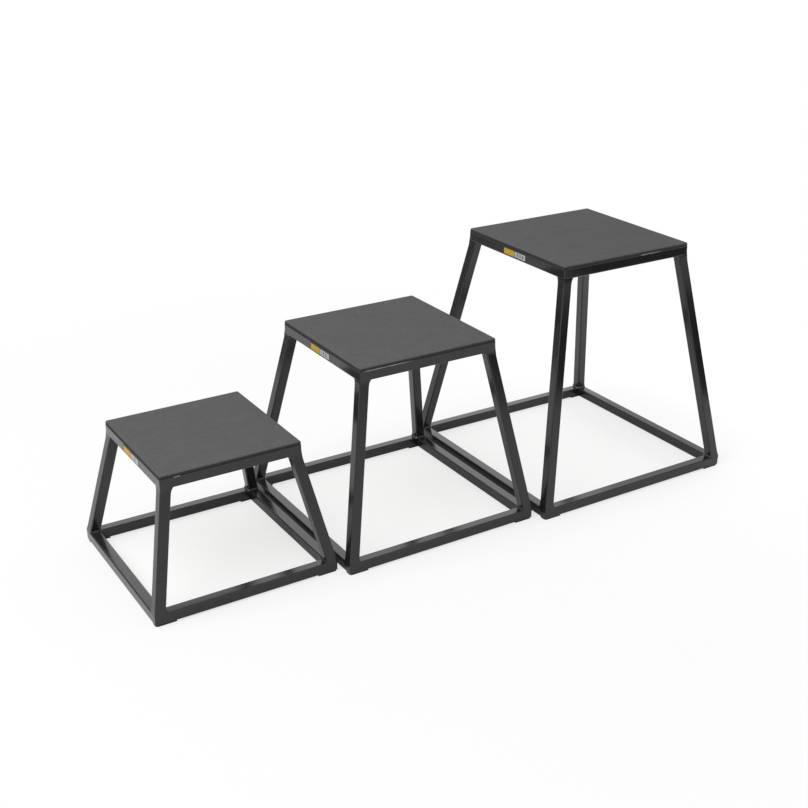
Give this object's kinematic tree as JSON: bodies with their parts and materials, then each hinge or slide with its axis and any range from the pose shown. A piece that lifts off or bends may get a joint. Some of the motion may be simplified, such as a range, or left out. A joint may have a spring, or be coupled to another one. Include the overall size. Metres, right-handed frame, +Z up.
{
  "type": "plyo box set",
  "caption": "Row of square steel-tube plyo boxes in rising heights, each with sloping legs, a rubber-matted deck and rubber floor pads.",
  "frame": {"origin": "on the floor, below the middle of the row's bounding box", "axes": "+X along the row from the lowest box to the tallest, +Y to the back of the row, +Z up"},
  "size_m": [1.573, 0.585, 0.61],
  "materials": {
    "frame_paint": "charcoal-black powder coat, satin, on welded square steel tube",
    "mat_rubber": "dark grey pebbled rubber sheet, dull",
    "foot_rubber": "black moulded rubber, dull",
    "deck_plywood": "bare birch plywood",
    "screw_zinc": "zinc-plated pan-head screw",
    "label_film": "plain printed film, amber and pale grey on black"
  },
  "bodies": {
    "small_box": {"small_base_rail_front": "frame_paint", "small_top_rail_front": "frame_paint", "small_base_rail_rear": "frame_paint", "small_top_rail_rear": "frame_paint", "small_base_rail_left": "frame_paint", "small_top_rail_left": "frame_paint", "small_base_rail_right": "frame_paint", "small_top_rail_right": "frame_paint", "small_leg_front_left": "frame_paint", "small_leg_front_right": "frame_paint", "small_leg_rear_left": "frame_paint", "small_leg_rear_right": "frame_paint", "small_leg_welds": "frame_paint", "small_deck_board": "deck_plywood", "small_deck_tabs": "frame_paint", "small_deck_screws": "screw_zinc", "small_deck_mat": "mat_rubber", "small_rubber_feet": "foot_rubber", "small_foot_screws": "screw_zinc", "small_size_label": "label_film"},
    "medium_box": {"medium_base_rail_front": "frame_paint", "medium_top_rail_front": "frame_paint", "medium_base_rail_rear": "frame_paint", "medium_top_rail_rear": "frame_paint", "medium_base_rail_left": "frame_paint", "medium_top_rail_left": "frame_paint", "medium_base_rail_right": "frame_paint", "medium_top_rail_right": "frame_paint", "medium_leg_front_left": "frame_paint", "medium_leg_front_right": "frame_paint", "medium_leg_rear_left": "frame_paint", "medium_leg_rear_right": "frame_paint", "medium_leg_welds": "frame_paint", "medium_deck_board": "deck_plywood", "medium_deck_tabs": "frame_paint", "medium_deck_screws": "screw_zinc", "medium_deck_mat": "mat_rubber", "medium_rubber_feet": "foot_rubber", "medium_foot_screws": "screw_zinc", "medium_size_label": "label_film"},
    "large_box": {"large_base_rail_front": "frame_paint", "large_top_rail_front": "frame_paint", "large_base_rail_rear": "frame_paint", "large_top_rail_rear": "frame_paint", "large_base_rail_left": "frame_paint", "large_top_rail_left": "frame_paint", "large_base_rail_right": "frame_paint", "large_top_rail_right": "frame_paint", "large_leg_front_left": "frame_paint", "large_leg_front_right": "frame_paint", "large_leg_rear_left": "frame_paint", "large_leg_rear_right": "frame_paint", "large_leg_welds": "frame_paint", "large_deck_board": "deck_plywood", "large_deck_tabs": "frame_paint", "large_deck_screws": "screw_zinc", "large_deck_mat": "mat_rubber", "large_rubber_feet": "foot_rubber", "large_foot_screws": "screw_zinc", "large_size_label": "label_film"}
  },
  "joints": [
    {"name": "medium_box_lift", "type": "slide", "parent": "large_box", "child": "medium_box", "axis": [0, 0, 1], "range_m": [0, 0.65]},
    {"name": "small_box_lift", "type": "slide", "parent": "large_box", "child": "small_box", "axis": [0, 0, 1], "range_m": [0, 0.65]}
  ]
}
